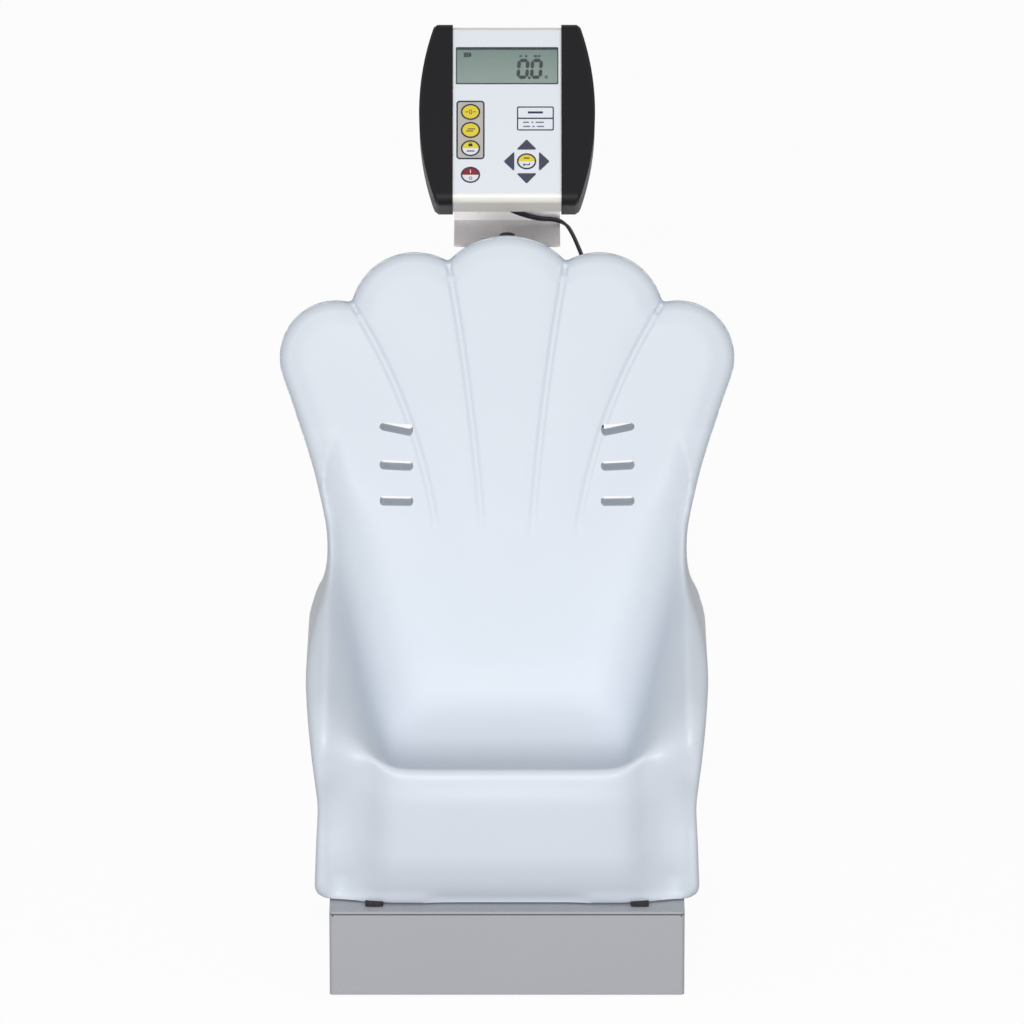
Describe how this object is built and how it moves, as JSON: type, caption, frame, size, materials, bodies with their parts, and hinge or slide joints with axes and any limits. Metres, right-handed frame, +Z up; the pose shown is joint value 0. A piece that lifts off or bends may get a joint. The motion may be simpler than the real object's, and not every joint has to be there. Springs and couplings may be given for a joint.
{
  "type": "digital baby weighing scale",
  "caption": "Infant weighing scale with a scalloped moulded chair on a low platform base and a tilting digital head with keys on a rear column.",
  "frame": {"origin": "centre of the base's footprint, on the floor", "axes": "+Z up, the chair and the display face -Y, +X is the sitting child's left"},
  "size_m": [0.4602, 0.4654, 0.8949],
  "materials": {
    "housing_paint": "satin powder coat",
    "frame_paint": "black enamel",
    "column_paint": "white powder coat",
    "head_paint": "smooth white paint",
    "zinc_steel": "zinc plated",
    "cell_aluminium": "milled",
    "black_rubber": "matte",
    "cable_black": "satin jacket",
    "black_plastic": "moulded",
    "seat_plastic": "satin rotomoulded",
    "cap_plastic": "fine texture",
    "overlay_white": "satin film",
    "window_clear": "clear",
    "lcd_grey": "display",
    "board_green": "solder mask",
    "battery_steel": "wrapped",
    "key_yellow": "printed film",
    "key_red": "printed film",
    "key_navy": "printed film"
  },
  "bodies": {
    "base": {"base_housing": "housing_paint", "rubber_feet": "black_rubber", "foot_screws": "zinc_steel", "base_beam": "frame_paint", "load_cell_lower_spacer": "zinc_steel", "load_cell": "cell_aluminium", "load_cell_lower_screws": "zinc_steel", "overload_stops": "zinc_steel", "cable_gland": "black_plastic", "column_foot_bracket": "column_paint", "column_foot_screws": "zinc_steel", "column_cross_bolt": "zinc_steel", "column_tube": "column_paint", "column_cap": "column_paint", "pivot_bolt": "black_plastic", "head_bracket": "column_paint", "pivot_tube": "zinc_steel", "tilt_knobs": "black_plastic", "cable_grommet": "black_rubber", "load_cell_cable": "cable_black"},
    "platform": {"load_cell_upper_spacer": "zinc_steel", "load_cell_upper_screws": "zinc_steel", "platform_frame": "frame_paint", "platform_lid": "housing_paint", "seat_bumpers": "black_rubber", "seat_screws": "zinc_steel", "seat_shell": "seat_plastic"},
    "head": {"head_extrusion": "head_paint", "left_end_cap": "cap_plastic", "right_end_cap": "cap_plastic", "cap_screws": "zinc_steel", "keypad_overlay": "overlay_white", "lcd_window": "window_clear", "lcd_module": "lcd_grey", "circuit_board": "board_green", "battery_holder": "black_plastic", "batteries": "battery_steel", "tilt_lugs": "cell_aluminium", "lug_screws": "zinc_steel"},
    "key_zero": {"key_zero": "key_yellow"},
    "key_units": {"key_units": "key_yellow"},
    "key_lock": {"key_lock": "key_yellow"},
    "key_power": {"key_power": "key_red"},
    "key_enter": {"key_enter": "key_yellow"},
    "key_up": {"key_up": "key_navy"},
    "key_down": {"key_down": "key_navy"},
    "key_left": {"key_left": "key_navy"},
    "key_right": {"key_right": "key_navy"}
  },
  "joints": [
    {"name": "platform_load", "type": "slide", "parent": "base", "child": "platform", "axis": [0, 0, -1], "range_m": [0, 0.0006], "stiffness_N_per_m": 2500000, "springref_m": -0.00008, "deforming": ["load_cell"]},
    {"name": "head_tilt", "type": "hinge", "parent": "base", "child": "head", "pos_m": [0, 0.22599, 0.748], "axis": [-1, 0, 0], "range_deg": [-25, 20]},
    {"name": "key_zero_press", "type": "slide", "parent": "head", "child": "key_zero", "axis": [0, 0.848, -0.5299], "range_m": [0, 0.0006], "stiffness_N_per_m": 2000},
    {"name": "key_units_press", "type": "slide", "parent": "head", "child": "key_units", "axis": [0, 0.848, -0.5299], "range_m": [0, 0.0006], "stiffness_N_per_m": 2000},
    {"name": "key_lock_press", "type": "slide", "parent": "head", "child": "key_lock", "axis": [0, 0.848, -0.5299], "range_m": [0, 0.0006], "stiffness_N_per_m": 2000},
    {"name": "key_power_press", "type": "slide", "parent": "head", "child": "key_power", "axis": [0, 0.848, -0.5299], "range_m": [0, 0.0006], "stiffness_N_per_m": 2000},
    {"name": "key_enter_press", "type": "slide", "parent": "head", "child": "key_enter", "axis": [0, 0.848, -0.5299], "range_m": [0, 0.0006], "stiffness_N_per_m": 2000},
    {"name": "key_up_press", "type": "slide", "parent": "head", "child": "key_up", "axis": [0, 0.848, -0.5299], "range_m": [0, 0.0006], "stiffness_N_per_m": 2000},
    {"name": "key_down_press", "type": "slide", "parent": "head", "child": "key_down", "axis": [0, 0.848, -0.5299], "range_m": [0, 0.0006], "stiffness_N_per_m": 2000},
    {"name": "key_left_press", "type": "slide", "parent": "head", "child": "key_left", "axis": [0, 0.848, -0.5299], "range_m": [0, 0.0006], "stiffness_N_per_m": 2000},
    {"name": "key_right_press", "type": "slide", "parent": "head", "child": "key_right", "axis": [0, 0.848, -0.5299], "range_m": [0, 0.0006], "stiffness_N_per_m": 2000}
  ]
}
